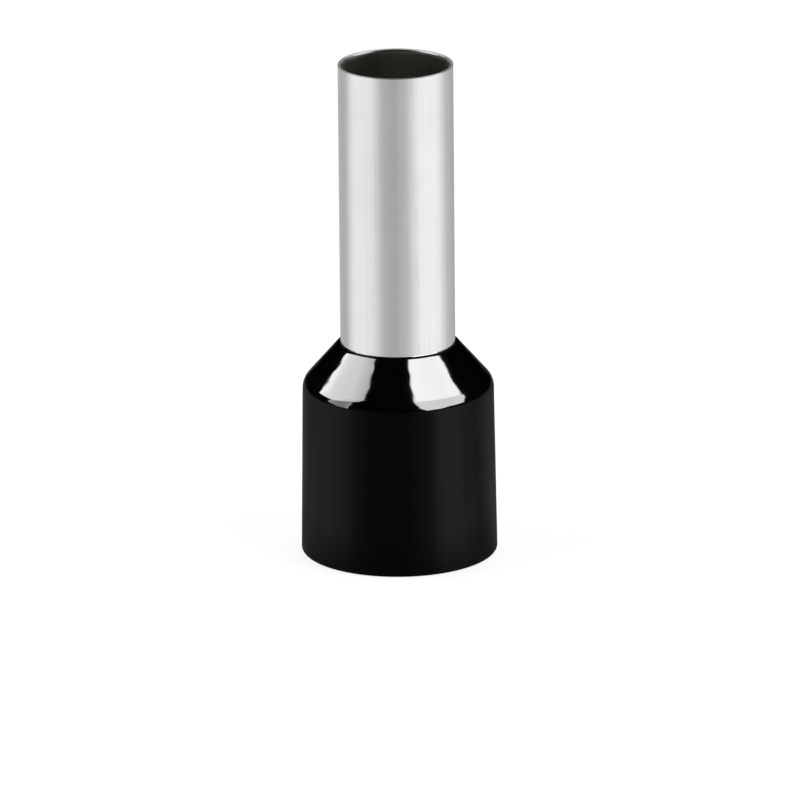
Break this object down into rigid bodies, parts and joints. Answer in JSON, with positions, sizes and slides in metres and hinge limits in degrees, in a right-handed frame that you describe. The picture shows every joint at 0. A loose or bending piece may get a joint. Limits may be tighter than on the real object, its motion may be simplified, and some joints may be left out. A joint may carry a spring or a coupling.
{
  "type": "wire ferrule",
  "caption": "Insulated wire ferrule: a plated copper tube, belled at its lower end inside a black plastic collar with a cone shoulder.",
  "frame": {"origin": "centre of the collar's mouth, on the plane that the collar stands on", "axes": "+Z along the sleeve's axis from the collar's mouth to the sleeve's tip; X and Y are alike, because the part is round"},
  "size_m": [0.0054, 0.0054, 0.0141],
  "materials": {
    "collar_plastic": "black polypropylene, moulded with a soft gloss",
    "tinned_copper": "bright tin plate on drawn copper tube"
  },
  "bodies": {
    "root": {"insulating_collar": "collar_plastic", "metal_sleeve": "tinned_copper"}
  },
  "joints": []
}
